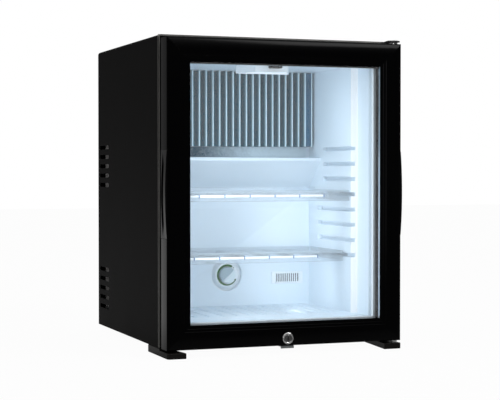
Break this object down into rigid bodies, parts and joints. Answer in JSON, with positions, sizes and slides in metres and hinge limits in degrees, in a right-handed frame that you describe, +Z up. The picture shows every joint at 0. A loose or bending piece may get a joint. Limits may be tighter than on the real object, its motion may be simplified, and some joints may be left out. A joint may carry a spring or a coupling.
{
  "type": "minibar fridge",
  "caption": "Small black minibar fridge with a hinged double-glazed door, clear shelves, a finned cooling plate, a thermostat and an absorption cooling unit at the rear.",
  "frame": {"origin": "on the floor under the middle of the closed fridge's outline", "axes": "+Z up, -Y out of the door's front, +X to the door's hinged side"},
  "size_m": [0.4072, 0.4238, 0.5065],
  "materials": {
    "cabinet_paint": "matte near-black paint",
    "door_gloss": "high gloss black",
    "grip_plastic": "satin black",
    "foot_plastic": "satin black",
    "white_liner": "semi-gloss cool white",
    "white_plastic": "satin white",
    "white_rubber": "soft white",
    "black_rubber": "dull black",
    "black_plastic": "satin black",
    "grey_plastic": "satin grey",
    "knob_plastic": "pale blue-grey, semi-gloss",
    "foam": "rigid polyurethane foam",
    "circuit_board": "green board",
    "lamp_lens": "frosted clear",
    "clear_plastic": "clear moulded plastic",
    "glass": "clear float glass",
    "aluminium": "satin extruded",
    "galvanised": "galvanised sheet",
    "chrome": "polished",
    "black_steel": "black painted steel"
  },
  "bodies": {
    "cabinet": {"outer_shell": "cabinet_paint", "bottom_panel": "cabinet_paint", "inner_liner": "white_liner", "foam_insulation": "foam", "rear_panel": "galvanised", "drain_tube": "grey_plastic", "evaporator_fin_plate": "aluminium", "evaporator_block": "aluminium", "evaporator_tube": "black_steel", "lamp_housing": "white_plastic", "lamp_lens": "lamp_lens", "led_board": "circuit_board", "door_switch_body": "black_plastic", "thermostat_dial": "white_plastic", "thermostat_body": "grey_plastic", "sensor_cover": "white_plastic", "temperature_sensor": "grey_plastic", "lock_keeper": "galvanised", "left_front_foot": "foot_plastic", "right_front_foot": "foot_plastic", "left_rear_foot": "foot_plastic", "right_rear_foot": "foot_plastic", "lower_hinge_pin": "chrome", "upper_hinge_pin": "chrome", "top_hinge_bracket": "black_steel", "boiler_jacket": "galvanised", "boiler_tube": "black_steel", "heating_element": "chrome", "condenser_tube": "black_steel", "condenser_fins": "aluminium", "gas_heat_exchanger": "black_steel", "absorber_coil": "black_steel", "absorber_vessel": "black_steel", "liquid_heat_exchanger": "black_steel", "unit_strap": "galvanised", "junction_box": "black_plastic", "cable_gland": "black_plastic"},
    "door": {"left_stile": "door_gloss", "right_stile": "door_gloss", "top_rail": "door_gloss", "bottom_rail": "door_gloss", "left_grip": "grip_plastic", "right_grip": "grip_plastic", "outer_glass": "glass", "inner_glass": "glass", "glazing_spacer": "aluminium", "glazing_sealant": "black_rubber", "inner_door_frame": "white_plastic", "door_gasket": "white_rubber", "magnet_strip": "black_rubber", "lock_housing": "chrome", "lower_hinge_bush": "white_plastic", "upper_hinge_bush": "white_plastic"},
    "lock_cylinder": {"lock_plug": "chrome", "lock_cam": "galvanised"},
    "plunger": {"switch_plunger": "black_plastic"},
    "knob": {"thermostat_knob": "knob_plastic"},
    "upper_tray": {"upper_shelf": "clear_plastic"},
    "lower_tray": {"lower_shelf": "clear_plastic"}
  },
  "joints": [
    {"name": "door_hinge", "type": "hinge", "parent": "cabinet", "child": "door", "pos_m": [0.194, -0.19815, 0.0125], "axis": [0, 0, 1], "range_deg": [0, 120]},
    {"name": "lock_turn", "type": "hinge", "parent": "door", "child": "lock_cylinder", "pos_m": [0, -0.21015, 0.0251], "axis": [0, 1, 0], "range_deg": [0, 90]},
    {"name": "thermostat_turn", "type": "hinge", "parent": "cabinet", "child": "knob", "pos_m": [-0.008, 0.06655, 0.1075], "axis": [0, 1, 0], "range_deg": [-135, 135]},
    {"name": "switch_press", "type": "slide", "parent": "cabinet", "child": "plunger", "axis": [0, 1, 0], "range_m": [0, 0.0035], "stiffness_N_per_m": 200},
    {"name": "upper_shelf_slide", "type": "slide", "parent": "cabinet", "child": "upper_tray", "axis": [0, -1, 0], "range_m": [0, 0.05]},
    {"name": "lower_shelf_slide", "type": "slide", "parent": "cabinet", "child": "lower_tray", "axis": [0, -1, 0], "range_m": [0, 0.075]}
  ]
}
